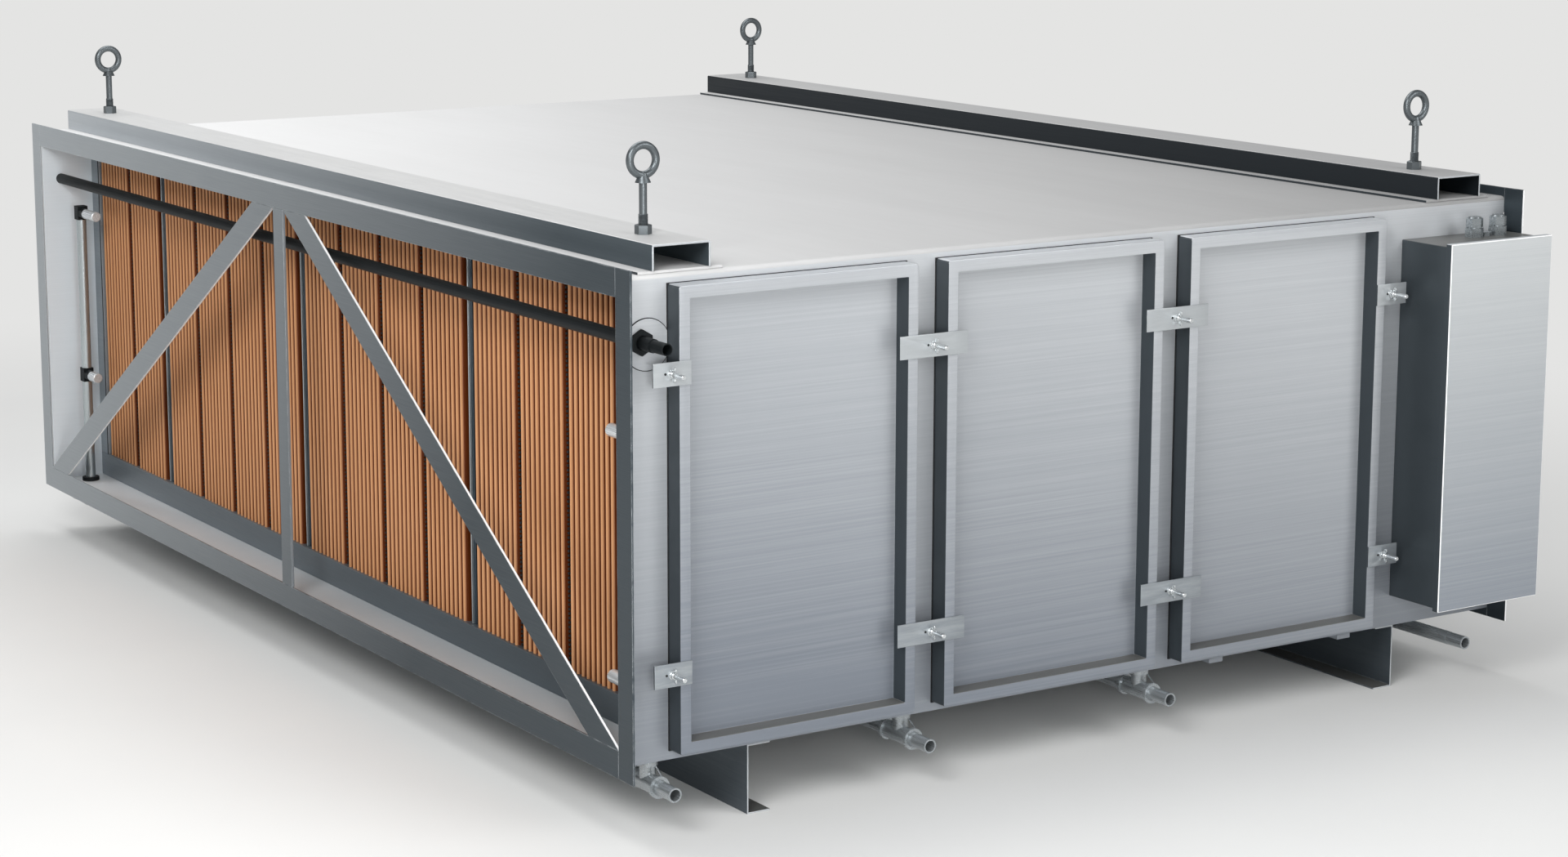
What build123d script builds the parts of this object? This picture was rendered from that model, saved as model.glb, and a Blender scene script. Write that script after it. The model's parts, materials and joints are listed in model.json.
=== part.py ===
# Preconditioned air unit: a sheet-steel coil casing with a bolting flange ring at each end.
# Millimetres, +Z up. +Y runs from the coil end to the rear end, +X is the service side.
# The origin is on the ground, under the middle of the front cross leg.
import os
from math import asin, atan2, hypot, sin

from build123d import *

# Flange rings at the two ends
FLANGE_WIDTH = 2960.0
FLANGE_HEIGHT = 918.0
FLANGE_MEMBER = 52.0
FLANGE_PLATE = 4.0
UNIT_LENGTH = 2138.0
GROUND_GAP = 113.0

# Casing sheets, set in from the flange rings
CASING_STEP = 0.8
CASING_RISE = 19.0
ROOF_DROP = 18.0
SHEET = 3.0
ROOF_BEND = 8.0

# Roof strips, lifting channels and eye bolts
STRIP_SETBACK = 48.0
STRIP_WIDTH = 174.0
STRIP_THICK = 5.0
CHANNEL_WIDTH = 120.0
CHANNEL_HEIGHT = 46.5
CHANNEL_SHEET = 4.0
EYE_INSET = 132.0
EYE_NUT_FLATS = 27.0
EYE_NUT_HEIGHT = 17.0
EYE_NUT_CHAMFER = 1.2
EYE_THREAD_D = 16.0
EYE_THREAD_TOP = 36.0
EYE_SHANK_D = 14.6
EYE_COLLAR_RISE = 92.0
EYE_COLLAR_D = 29.0
EYE_COLLAR_TOP_D = 17.0
EYE_COLLAR_HEIGHT = 13.0
EYE_RING_OUTER_D = 68.0
EYE_RING_BAR_D = 14.5

# Post and braces across the open front end
POST_WIDTH = 50.0
POST_OFFSET = 7.0
BRACE_WIDTH = 58.0
BRACE_THICK = 6.0

# Coil behind the front end
COIL_SETBACK = 135.0
COIL_CORE_DEPTH = 200.0
CASING_LEAD = 5.0
SILL_HEIGHT = 58.0
HEAD_HEIGHT = 50.0
JAMB_WIDTH = 49.0
PANEL_DEPTH = 30.0
PANEL_GAP = 17.0
BANK_GAP = 45.0
BANKS = (2, 4, 4, 4)
FLUTES = 9
FLUTE_SHARE = 0.66
FLUTE_RISE = 6.5
DIVIDER_WIDTH = 19.0
DIVIDER_DEPTH = 22.0

# Pipes of the front recess
HEADER_SETBACK = 50.0
HEADER_DROP = 114.6
HEADER_D = 25.0
HEADER_BORE = 19.0
HEADER_STUB = 92.0
HEADER_SPIGOT_D = 22.0
HEADER_SPIGOT = 45.0
ROSETTE_D = 92.0
ROSETTE_THICK = 2.0
ROSETTE_SHIFT_Y = 13.0
ROSETTE_SHIFT_Z = -5.0
UNION_FLATS = 42.0
UNION_LENGTH = 8.0
UNION_CHAMFER = 1.5
RISER_SETBACK = 77.6
RISER_INSET = 57.0
RISER_D = 24.0
RISER_BORE = 18.0
FOOT_COLLAR_D = 42.0
FOOT_COLLAR_HEIGHT = 9.0
FITTING_WIDTH = 25.6
FITTING_HEIGHT = 34.0
FITTING_HEX = 24.0
FITTING_HEX_LENGTH = 24.0
CAP_D = 25.0
CAP_ROUND = 3.0
FAR_HEADS = ((679.0, 67.0), (271.0, 38.0))
NEAR_HEADS = ((577.0, 57.0), (120.0, 57.0))

# Tray doors and their clamps
DOOR_COUNT = 3
DOOR_START = 104.3
DOOR_GAP = 66.3
DOOR_END_GAP = 82.2
DOOR_SILL = 17.0
DOOR_HEAD = 18.0
DOOR_PROUD = 42.0
DOOR_SKIN = 5.0
DOOR_RIM = 23.0
DOOR_CORNER = 6.0
CLAMP_HEIGHT = 43.0
CLAMP_THICK = 3.0
CLAMP_HOLD = 23.0
CLAMP_BITE = 43.0
CLAMP_SILL = 169.0
CLAMP_HEAD = 171.0
CLAMP_ENDS = 78.0
CLAMP_STUD_OUT = 17.0
STUD_D = 10.0
STUD_TIP = 42.0
STUD_NUT_FLATS = 17.0
STUD_NUT_HEIGHT = 9.0

# Control box
BOX_END_SETBACK = 14.0
BOX_WIDTH = 275.0
BOX_DEPTH = 139.0
BOX_SILL = 65.0
BOX_HEAD = 70.0
LID_FRONT = 6.0
LID_SIDE_LIP = 3.0
LID_END_LIP = 6.0
LID_SKIRT = 10.0
LID_EDGE = 2.0
GLAND_FLATS = 33.0
GLAND_BASE = 19.0
GLAND_NUT = 20.0
GLAND_NUT_FLATS = 31.0
GLAND_WAIST = 1.5
GLAND_WAIST_D = 28.0
GLAND_DOME = 3.0
GLAND_DOME_D = 29.0
GLAND_TOP_D = 25.0
GLANDS = ((50.0, 152.0), (50.0, 218.0))
PLUG_PLACE = (50.0, 185.0)
PLUG_FLATS = 19.0
PLUG_HEIGHT = 9.0
PLUG_CHAMFER = 1.5

# Legs, drains and floor rails
LEG_SETBACK = 295.5
REAR_LEG_SETBACK = 300.0
LEG_FLANGE = 49.5
LEG_SHEET = 3.0
DRAIN_D = 28.0
DRAIN_BORE = 21.0
DRAIN_DROP = 41.0
DRAIN_STUB = 76.0
DRAIN_SPIGOT_D = 27.0
DRAIN_SPIGOT = 45.0
DRAIN_SETBACK = 72.0
DRAIN_BEFORE_GAP = 22.0
DRAIN_END_SETBACK = 141.0
TEE_INSET = 21.0
TEE_INBOARD = 300.0
TEE_BRANCH_D = 30.0
TEE_FERRULE_D = 38.0
TEE_FERRULE_HEIGHT = 9.0
TEE_BODY_D = 34.0
TEE_COLLAR_D = 41.0
TEE_COLLAR_THICK = 7.0
TEE_HALF = 44.0
RAIL_WIDTH = 35.0
RAIL_THICK = 10.0
RAIL_END_SETBACKS = (755.0, 412.5)

# Running clearance between a pipe and what it passes through
FIT = 0.3

# Places that follow from the sizes
FRONT_Y = -LEG_SETBACK
REAR_Y = FRONT_Y + UNIT_LENGTH
SHEET_START = FRONT_Y + FLANGE_PLATE
SHEET_END = REAR_Y - FLANGE_PLATE
FLANGE_X = FLANGE_WIDTH / 2
INNER_X = FLANGE_X - FLANGE_MEMBER
FLANGE_BOTTOM = GROUND_GAP
FLANGE_TOP = FLANGE_BOTTOM + FLANGE_HEIGHT
OPEN_BOTTOM = FLANGE_BOTTOM + FLANGE_MEMBER
OPEN_TOP = FLANGE_TOP - FLANGE_MEMBER
WALL_X = INNER_X - CASING_STEP
LINING_X = WALL_X - SHEET
BASE_Z = FLANGE_BOTTOM + CASING_RISE
PAN_TOP = BASE_Z + SHEET
ROOF_TOP = FLANGE_TOP - ROOF_DROP
ROOF_UNDER = ROOF_TOP - SHEET
STRIP_TOP = ROOF_TOP + STRIP_THICK
CHANNEL_TOP = STRIP_TOP + CHANNEL_HEIGHT
CHANNEL_Y = FRONT_Y + STRIP_SETBACK + STRIP_WIDTH / 2
COIL_Y = FRONT_Y + COIL_SETBACK
CORE_Y = COIL_Y + PANEL_DEPTH
CORE_BACK = CORE_Y + COIL_CORE_DEPTH
COIL_BOTTOM = PAN_TOP + SILL_HEIGHT
COIL_TOP = ROOF_UNDER - HEAD_HEIGHT
COIL_X = LINING_X - JAMB_WIDTH
HEADER_Y = FRONT_Y + HEADER_SETBACK
HEADER_Z = ROOF_UNDER - HEADER_DROP
RISER_Y = FRONT_Y + RISER_SETBACK
RISER_X = LINING_X - RISER_INSET
BOX_Y1 = REAR_Y - BOX_END_SETBACK
BOX_Y0 = BOX_Y1 - BOX_WIDTH
BOX_BOTTOM = BASE_Z + BOX_SILL
BOX_TOP = ROOF_TOP - BOX_HEAD
DOOR_Y = FRONT_Y + DOOR_START
DOOR_ROW = BOX_Y0 - DOOR_END_GAP - DOOR_Y
DOOR_WIDTH = (DOOR_ROW - (DOOR_COUNT - 1) * DOOR_GAP) / DOOR_COUNT
DOOR_PITCH = DOOR_WIDTH + DOOR_GAP
DOOR_BOTTOM = BASE_Z + DOOR_SILL
DOOR_TOP = ROOF_TOP - DOOR_HEAD
DOOR_FACE = WALL_X + DOOR_PROUD
CLAMP_HEIGHTS = (BASE_Z + CLAMP_SILL, ROOF_TOP - CLAMP_HEAD)
REAR_LEG_Y = REAR_Y - REAR_LEG_SETBACK
DRAIN_Z = BASE_Z - DRAIN_DROP
GAP_MIDDLES = [DOOR_Y + i * DOOR_PITCH - DOOR_GAP / 2 for i in range(1, DOOR_COUNT)]
DRAIN_ROW = [
    FRONT_Y + DRAIN_SETBACK,
    *[y - DRAIN_BEFORE_GAP for y in GAP_MIDDLES],
    REAR_Y - DRAIN_END_SETBACK,
]
TEE_X = WALL_X - TEE_INSET


def mirrored_y(y):
    # the same place counted from the rear end
    return FRONT_Y + REAR_Y - y


def block(x0, x1, y0, y1, z0, z1):
    middle = Pos((x0 + x1) / 2, (y0 + y1) / 2, (z0 + z1) / 2)
    return middle * Box(x1 - x0, y1 - y0, z1 - z0)


def rod_x(x0, x1, y, z, diameter):
    return Pos(x0, y, z) * Rot(0, 90, 0) * Cylinder(
        diameter / 2, x1 - x0, align=(Align.CENTER, Align.CENTER, Align.MIN)
    )


def rod_z(x, y, z0, z1, diameter):
    return Pos(x, y, z0) * Cylinder(
        diameter / 2, z1 - z0, align=(Align.CENTER, Align.CENTER, Align.MIN)
    )


def hexagon_z(x, y, z0, z1, flats):
    outline = RegularPolygon(flats / 2, 6, major_radius=False)
    return Pos(x, y, z0) * extrude(outline, z1 - z0)


def hexagon_x(x0, x1, y, z, flats):
    outline = RegularPolygon(flats / 2, 6, major_radius=False)
    return Pos(x0, y, z) * Rot(0, 90, 0) * extrude(outline, x1 - x0)


def save(name, *shapes):
    solids = [solid for shape in shapes for solid in shape.solids()]
    export_step(Compound(solids), f"parts/{name}.step")


# Flange rings: two stiles over the full height and two members between them
def flange_ring(end, y0):
    y1 = y0 + FLANGE_PLATE
    top = block(-INNER_X, INNER_X, y0, y1, OPEN_TOP, FLANGE_TOP)
    bottom = block(-INNER_X, INNER_X, y0, y1, FLANGE_BOTTOM, OPEN_BOTTOM)
    far_stile = block(-FLANGE_X, -INNER_X, y0, y1, FLANGE_BOTTOM, FLANGE_TOP)
    near_stile = block(INNER_X, FLANGE_X, y0, y1, FLANGE_BOTTOM, FLANGE_TOP)
    save(f"{end}_flange_members", top, bottom)
    save(f"{end}_flange_stiles", far_stile, near_stile)


# Post between the members, off the middle towards the service side
def centre_post():
    x0 = POST_OFFSET - POST_WIDTH / 2
    x1 = POST_OFFSET + POST_WIDTH / 2
    return block(x0, x1, FRONT_Y, FRONT_Y + BRACE_THICK, OPEN_BOTTOM, OPEN_TOP)


# Brace from a lower outer corner of the ring to the head of the post.
# Its long edges run through two opposite corners of the opening that it crosses.
def brace(side):
    post_edge = POST_OFFSET + side * POST_WIDTH / 2
    corner_x = side * INNER_X
    span = abs(corner_x - post_edge)
    rise = OPEN_TOP - OPEN_BOTTOM
    slope = atan2(rise, span) + asin(BRACE_WIDTH / hypot(span, rise))
    foot = side * BRACE_WIDTH / sin(slope)
    outline = Polyline(
        (corner_x, OPEN_BOTTOM),
        (corner_x - foot, OPEN_BOTTOM),
        (post_edge, OPEN_TOP),
        (post_edge + foot, OPEN_TOP),
        close=True,
    )
    plate = Pos(0, FRONT_Y, 0) * extrude(Plane.XZ * make_face(outline), -BRACE_THICK)
    x0, x1 = sorted((side * LINING_X, side * FLANGE_X))
    behind_ring = block(x0, x1, SHEET_START, FRONT_Y + BRACE_THICK, OPEN_BOTTOM, OPEN_TOP)
    return plate - behind_ring


# Casing sheets
def side_wall(side):
    x0, x1 = sorted((side * LINING_X, side * WALL_X))
    wall = block(x0, x1, SHEET_START, SHEET_END, BASE_Z, ROOF_TOP - ROOF_BEND)
    if side > 0:
        passage = rod_x(x0 - SHEET, x1 + SHEET, HEADER_Y, HEADER_Z, HEADER_D + 2 * FIT)
        wall = wall - passage
    return wall


# Roof sheet with its long edges bent down onto the walls
def roof_sheet():
    outer = RectangleRounded(2 * WALL_X, 4 * ROOF_BEND, ROOF_BEND)
    inner = RectangleRounded(2 * LINING_X, 4 * ROOF_BEND - 2 * SHEET, ROOF_BEND - SHEET)
    keep = Pos(0, ROOF_BEND * 1.5) * Rectangle(2 * WALL_X, ROOF_BEND)
    section = (outer - inner) & keep
    length = SHEET_END - SHEET_START
    sheet = extrude(Plane.XZ * section, -length)
    return Pos(0, SHEET_START, ROOF_TOP - 2 * ROOF_BEND) * sheet


def floor_pan():
    return block(-LINING_X, LINING_X, SHEET_START, SHEET_END - SHEET, BASE_Z, PAN_TOP)


# Upper corners of what stands under the roof follow the inside of its bends
def under_roof(shape):
    corners = shape.edges().filter_by(Axis.Y).group_by(Axis.Z)[-1]
    return fillet(corners, ROOF_BEND - SHEET)


# Closed panel between the walls at the rear end
def rear_panel():
    panel = block(-LINING_X, LINING_X, SHEET_END - SHEET, SHEET_END, BASE_Z, ROOF_UNDER)
    return under_roof(panel)


# Strips across the roof that carry the lifting channels
def roof_strip(y0):
    reach = WALL_X - ROOF_BEND / 2
    return block(-reach, reach, y0, y0 + STRIP_WIDTH, ROOF_TOP, STRIP_TOP)


# Lifting channel: a folded sheet, open underneath, across the whole casing
def lifting_channel(y):
    outside = block(-WALL_X, WALL_X, y - CHANNEL_WIDTH / 2, y + CHANNEL_WIDTH / 2, STRIP_TOP, CHANNEL_TOP)
    bends = outside.edges().filter_by(Axis.X).group_by(Axis.Z)[-1]
    outside = fillet(bends, CHANNEL_SHEET)
    half = CHANNEL_WIDTH / 2 - CHANNEL_SHEET
    inside = block(-FLANGE_X, FLANGE_X, y - half, y + half, STRIP_TOP, CHANNEL_TOP - CHANNEL_SHEET)
    return outside - inside


# Eye bolt: hexagon nut, thread, shank, coned collar and a forged ring
def eye_bolt(x, y):
    ring_r = (EYE_RING_OUTER_D - EYE_RING_BAR_D) / 2
    ring_z = EYE_COLLAR_RISE + EYE_COLLAR_HEIGHT + ring_r
    nut = hexagon_z(0, 0, 0, EYE_NUT_HEIGHT, EYE_NUT_FLATS)
    nut = chamfer(nut.edges().group_by(Axis.Z)[-1], EYE_NUT_CHAMFER)
    thread = rod_z(0, 0, EYE_NUT_HEIGHT, EYE_THREAD_TOP, EYE_THREAD_D)
    shank = rod_z(0, 0, EYE_THREAD_TOP, EYE_COLLAR_RISE, EYE_SHANK_D)
    collar = Pos(0, 0, EYE_COLLAR_RISE) * Cone(
        EYE_COLLAR_D / 2,
        EYE_COLLAR_TOP_D / 2,
        EYE_COLLAR_HEIGHT,
        align=(Align.CENTER, Align.CENTER, Align.MIN),
    )
    ring = Pos(0, 0, ring_z) * Rot(0, 90, 0) * Torus(ring_r, EYE_RING_BAR_D / 2)
    bolt = nut + thread + shank + collar + ring
    return Pos(x, y, CHANNEL_TOP) * bolt


# Coil casing: sill, head and two jambs round the coil core
def coil_sill():
    return block(-LINING_X, LINING_X, COIL_Y - CASING_LEAD, CORE_BACK, PAN_TOP, COIL_BOTTOM)


def coil_head():
    head = block(-LINING_X, LINING_X, COIL_Y - CASING_LEAD, CORE_BACK, COIL_TOP, ROOF_UNDER)
    return under_roof(head)


def coil_jamb(side):
    x0, x1 = sorted((side * COIL_X, side * LINING_X))
    return block(x0, x1, COIL_Y - CASING_LEAD, CORE_BACK, COIL_BOTTOM, COIL_TOP)


def coil_core():
    return block(-COIL_X, COIL_X, CORE_Y, CORE_BACK, COIL_BOTTOM, COIL_TOP)


# Fluted copper panel: round ridges side by side, drawn as one closed outline
def fluted_panel(x0, width):
    pitch = width / FLUTES
    ridge = pitch * FLUTE_SHARE
    groove = (pitch - ridge) / 2
    valley = COIL_Y + FLUTE_RISE
    edges = []
    for index in range(FLUTES):
        start = x0 + index * pitch
        left = (start + groove, valley)
        crest = (start + pitch / 2, COIL_Y)
        right = (start + pitch - groove, valley)
        edges.append(Line((start, valley), left))
        edges.append(ThreePointArc(left, crest, right))
        edges.append(Line(right, (start + pitch, valley)))
    back = Polyline((x0 + width, valley), (x0 + width, CORE_Y), (x0, CORE_Y), (x0, valley))
    outline = make_face(Curve() + edges + back)
    return Pos(0, 0, COIL_BOTTOM) * extrude(outline, COIL_TOP - COIL_BOTTOM)


def coil_divider(x):
    half = DIVIDER_WIDTH / 2
    return block(x - half, x + half, CORE_Y - DIVIDER_DEPTH, CORE_Y, COIL_BOTTOM, COIL_TOP)


# Banks of panels: narrow gaps inside a bank and a wide one, with a divider, between two banks
def coil_banks():
    narrow = sum(BANKS) - len(BANKS)
    wide = len(BANKS) - 1
    width = (2 * COIL_X - narrow * PANEL_GAP - wide * BANK_GAP) / sum(BANKS)
    x = -COIL_X
    dividers = []
    for number, count in enumerate(BANKS, 1):
        panels = [fluted_panel(x + i * (width + PANEL_GAP), width) for i in range(count)]
        save(f"coil_bank_{number}", *panels)
        x += count * width + (count - 1) * PANEL_GAP
        if number < len(BANKS):
            dividers.append(coil_divider(x + BANK_GAP / 2))
        x += BANK_GAP
    save("coil_dividers", *dividers)


# Header pipe across the recess and out through the service wall, turned down at its mouth
def header_pipe():
    tip = WALL_X + HEADER_STUB
    shoulder = tip - HEADER_SPIGOT
    outside = rod_x(-LINING_X, shoulder, HEADER_Y, HEADER_Z, HEADER_D)
    outside = outside + rod_x(shoulder, tip, HEADER_Y, HEADER_Z, HEADER_SPIGOT_D)
    return outside - rod_x(-LINING_X + SHEET, tip + SHEET, HEADER_Y, HEADER_Z, HEADER_BORE)


# Disc round the header pipe on the wall, cut off straight beside the first door
def pipe_rosette():
    middle_y = HEADER_Y + ROSETTE_SHIFT_Y
    middle_z = HEADER_Z + ROSETTE_SHIFT_Z
    disc = rod_x(WALL_X, WALL_X + ROSETTE_THICK, middle_y, middle_z, ROSETTE_D)
    passage = rod_x(WALL_X - SHEET, WALL_X + 2 * SHEET, HEADER_Y, HEADER_Z, HEADER_D + 2 * FIT)
    beside_door = block(WALL_X - SHEET, WALL_X + 2 * SHEET, FRONT_Y, DOOR_Y - FIT, BASE_Z, ROOF_TOP)
    return (disc - passage) & beside_door


# Hexagon nut on the pipe, flat against the rosette
def header_union():
    x0 = WALL_X + ROSETTE_THICK
    x1 = x0 + UNION_LENGTH
    body = hexagon_x(x0, x1, HEADER_Y, HEADER_Z, UNION_FLATS)
    body = chamfer(body.edges().group_by(Axis.X)[-1], UNION_CHAMFER)
    return body - rod_x(x0 - SHEET, x1 + SHEET, HEADER_Y, HEADER_Z, HEADER_D + 2 * FIT)


# Riser pipes with a collar at the foot, a tee half way and an elbow at the head
def riser_pipe(side, heads):
    top = PAN_TOP + heads[0][0] - FITTING_HEIGHT / 2
    x = side * RISER_X
    return rod_z(x, RISER_Y, PAN_TOP, top, RISER_D) - rod_z(x, RISER_Y, PAN_TOP, top, RISER_BORE)


def riser_collar(side):
    x = side * RISER_X
    collar = rod_z(x, RISER_Y, PAN_TOP, PAN_TOP + FOOT_COLLAR_HEIGHT, FOOT_COLLAR_D)
    return collar - rod_z(x, RISER_Y, PAN_TOP, PAN_TOP + FOOT_COLLAR_HEIGHT, RISER_D + 2 * FIT)


# Fitting body with a hexagon neck that points away from the wall
def riser_fitting(side, height, is_head):
    x = side * RISER_X
    z = PAN_TOP + height
    half = FITTING_WIDTH / 2
    rise = FITTING_HEIGHT / 2
    body = block(x - half, x + half, RISER_Y - half, RISER_Y + half, z - rise, z + rise)
    x0, x1 = sorted((x - side * half, x - side * (half + FITTING_HEX_LENGTH)))
    body = body + hexagon_x(x0, x1, RISER_Y, z, FITTING_HEX)
    if not is_head:
        body = body - rod_z(x, RISER_Y, z - FITTING_HEIGHT, z + FITTING_HEIGHT, RISER_D + 2 * FIT)
    return body


def riser_cap(side, height, length):
    start = side * (RISER_X - FITTING_WIDTH / 2 - FITTING_HEX_LENGTH)
    x0, x1 = sorted((start, start - side * length))
    cap = rod_x(x0, x1, RISER_Y, PAN_TOP + height, CAP_D)
    return fillet(cap.edges().group_by(Axis.X)[0 if side > 0 else -1], CAP_ROUND)


def riser_set():
    sides = ((-1, FAR_HEADS), (1, NEAR_HEADS))
    save("riser_pipes", *[riser_pipe(side, heads) for side, heads in sides])
    fittings = [riser_collar(side) for side, heads in sides]
    caps = []
    for side, heads in sides:
        for number, (height, length) in enumerate(heads):
            fittings.append(riser_fitting(side, height, number == 0))
            caps.append(riser_cap(side, height, length))
    save("riser_fittings", *fittings)
    save("riser_caps", *caps)


# Tray door: a skin close to the wall inside a deep rim
def door(index):
    y0 = DOOR_Y + index * DOOR_PITCH
    y1 = y0 + DOOR_WIDTH
    tray = block(WALL_X, DOOR_FACE, y0, y1, DOOR_BOTTOM, DOOR_TOP)
    tray = fillet(tray.edges().filter_by(Axis.X), DOOR_CORNER)
    well = block(
        WALL_X + DOOR_SKIN,
        DOOR_FACE + SHEET,
        y0 + DOOR_RIM,
        y1 - DOOR_RIM,
        DOOR_BOTTOM + DOOR_RIM,
        DOOR_TOP - DOOR_RIM,
    )
    return tray - well


# Clamp plates over the rims of two neighbouring doors, or of one at the ends of the row.
# Each row gives where a plate starts and ends and where its stud stands, beside the doors.
def clamp_rows():
    row_end = DOOR_Y + DOOR_ROW
    first = DOOR_Y + CLAMP_HOLD
    last = row_end - CLAMP_HOLD
    rows = [(first - CLAMP_ENDS, first, DOOR_Y - CLAMP_STUD_OUT)]
    for middle in GAP_MIDDLES:
        reach = DOOR_GAP / 2 + CLAMP_BITE
        rows.append((middle - reach, middle + reach, middle))
    rows.append((last, last + CLAMP_ENDS, row_end + CLAMP_STUD_OUT))
    return rows


def clamp_plate(y0, y1, y, z):
    half = CLAMP_HEIGHT / 2
    plate = block(DOOR_FACE, DOOR_FACE + CLAMP_THICK, y0, y1, z - half, z + half)
    return plate - rod_x(DOOR_FACE - SHEET, DOOR_FACE + 2 * CLAMP_THICK, y, z, STUD_D + 2 * FIT)


def clamp_stud(y, z):
    seat = DOOR_FACE + CLAMP_THICK
    nut = hexagon_x(seat, seat + STUD_NUT_HEIGHT, y, z, STUD_NUT_FLATS)
    return rod_x(WALL_X, seat + STUD_TIP, y, z, STUD_D) + nut


def clamp_set():
    plates = []
    studs = []
    for y0, y1, y in clamp_rows():
        for z in CLAMP_HEIGHTS:
            plates.append(clamp_plate(y0, y1, y, z))
            studs.append(clamp_stud(y, z))
    save("clamp_plates", *plates)
    save("clamp_studs", *studs)


# Control box with a lipped lid and cable glands on its top
def control_box():
    return block(WALL_X, WALL_X + BOX_DEPTH, BOX_Y0, BOX_Y1, BOX_BOTTOM, BOX_TOP)


def control_box_lid():
    y0 = BOX_Y0 - LID_SIDE_LIP
    y1 = BOX_Y1 + LID_SIDE_LIP
    z0 = BOX_BOTTOM - LID_END_LIP
    z1 = BOX_TOP + LID_END_LIP
    face = WALL_X + BOX_DEPTH
    lid = block(face - LID_SKIRT, face + LID_FRONT, y0, y1, z0, z1)
    lid = fillet(lid.edges().group_by(Axis.X)[-1] + lid.edges().filter_by(Axis.X), LID_EDGE)
    return lid - block(face - 2 * LID_SKIRT, face, BOX_Y0, BOX_Y1, BOX_BOTTOM, BOX_TOP)


def cable_gland(place):
    x = WALL_X + place[0]
    y = BOX_Y0 + place[1]
    base = hexagon_z(x, y, BOX_TOP, BOX_TOP + GLAND_BASE, GLAND_FLATS)
    nut_z = BOX_TOP + GLAND_BASE
    waist = rod_z(x, y, nut_z, nut_z + GLAND_WAIST, GLAND_WAIST_D)
    nut = hexagon_z(x, y, nut_z + GLAND_WAIST, nut_z + GLAND_NUT, GLAND_NUT_FLATS)
    dome = Pos(x, y, nut_z + GLAND_NUT) * Cone(
        GLAND_DOME_D / 2,
        GLAND_TOP_D / 2,
        GLAND_DOME,
        align=(Align.CENTER, Align.CENTER, Align.MIN),
    )
    return base + waist + nut + dome


def blanking_plug():
    x = WALL_X + PLUG_PLACE[0]
    y = BOX_Y0 + PLUG_PLACE[1]
    plug = hexagon_z(x, y, BOX_TOP, BOX_TOP + PLUG_HEIGHT, PLUG_FLATS)
    return chamfer(plug.edges().group_by(Axis.Z)[-1], PLUG_CHAMFER)


# Cross leg: a channel with its web outwards and its flanges towards the middle of the unit
def leg(inward):
    y0, y1 = sorted((-inward * LEG_FLANGE / 2, inward * LEG_FLANGE / 2))
    bar = block(-WALL_X, WALL_X, y0, y1, 0, BASE_Z)
    h0, h1 = sorted((inward * (LEG_SHEET - LEG_FLANGE / 2), inward * LEG_FLANGE))
    bar = bar - block(-FLANGE_X, FLANGE_X, h0, h1, LEG_SHEET, BASE_Z - LEG_SHEET)
    middle = 0 if inward > 0 else REAR_LEG_Y
    return Pos(0, middle, 0) * bar


# Drain pipe along the underside, turned down at its mouth on the service side
def drain_pipe(y):
    tip = WALL_X + DRAIN_STUB
    shoulder = tip - DRAIN_SPIGOT
    outside = rod_x(-LINING_X, shoulder, y, DRAIN_Z, DRAIN_D)
    outside = outside + rod_x(shoulder, tip, y, DRAIN_Z, DRAIN_SPIGOT_D)
    return outside - rod_x(-LINING_X - SHEET, tip + SHEET, y, DRAIN_Z, DRAIN_BORE)


# Tee fitting: a sleeve with a collar at each mouth and a branch up to the floor pan
def drain_tee(x, y):
    sleeve = rod_x(x - TEE_HALF, x + TEE_HALF, y, DRAIN_Z, TEE_BODY_D)
    collars = rod_x(x - TEE_HALF, x - TEE_HALF + TEE_COLLAR_THICK, y, DRAIN_Z, TEE_COLLAR_D)
    collars = collars + rod_x(x + TEE_HALF - TEE_COLLAR_THICK, x + TEE_HALF, y, DRAIN_Z, TEE_COLLAR_D)
    branch = rod_z(x, y, DRAIN_Z, BASE_Z, TEE_BRANCH_D)
    ferrule = rod_z(x, y, BASE_Z - TEE_FERRULE_HEIGHT, BASE_Z, TEE_FERRULE_D)
    body = sleeve + collars + branch + ferrule
    return body - rod_x(x - 2 * TEE_HALF, x + 2 * TEE_HALF, y, DRAIN_Z, DRAIN_D + 2 * FIT)


def drain_set():
    save("drain_pipes", *[drain_pipe(y) for y in DRAIN_ROW])
    near = [drain_tee(TEE_X, y) for y in DRAIN_ROW[:-1]]
    near.append(drain_tee(TEE_X - TEE_INBOARD, DRAIN_ROW[-1]))
    far = [drain_tee(-TEE_X, y) for y in DRAIN_ROW]
    save("drain_tees", *near, *far)


def floor_rail(setback):
    y = REAR_Y - setback
    return block(-WALL_X, WALL_X, y - RAIL_WIDTH / 2, y + RAIL_WIDTH / 2, BASE_Z - RAIL_THICK, BASE_Z)


os.makedirs("parts", exist_ok=True)
flange_ring("front", FRONT_Y)
flange_ring("rear", REAR_Y - FLANGE_PLATE)
save("centre_post", centre_post())
save("braces", brace(-1), brace(1))
save("service_wall", side_wall(1))
save("far_wall", side_wall(-1))
save("roof_sheet", roof_sheet())
save("floor_pan", floor_pan())
save("rear_panel", rear_panel())
save("roof_strips", roof_strip(FRONT_Y + STRIP_SETBACK), roof_strip(REAR_Y - STRIP_SETBACK - STRIP_WIDTH))
save("lifting_channels", lifting_channel(CHANNEL_Y), lifting_channel(mirrored_y(CHANNEL_Y)))
eye_x = WALL_X - EYE_INSET
eye_places = [(x, y) for y in (CHANNEL_Y, mirrored_y(CHANNEL_Y)) for x in (-eye_x, eye_x)]
for number, (x, y) in enumerate(eye_places, 1):
    save(f"eye_bolt_{number}", eye_bolt(x, y))
save("coil_sill", coil_sill())
save("coil_head", coil_head())
save("coil_jambs", coil_jamb(-1), coil_jamb(1))
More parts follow.
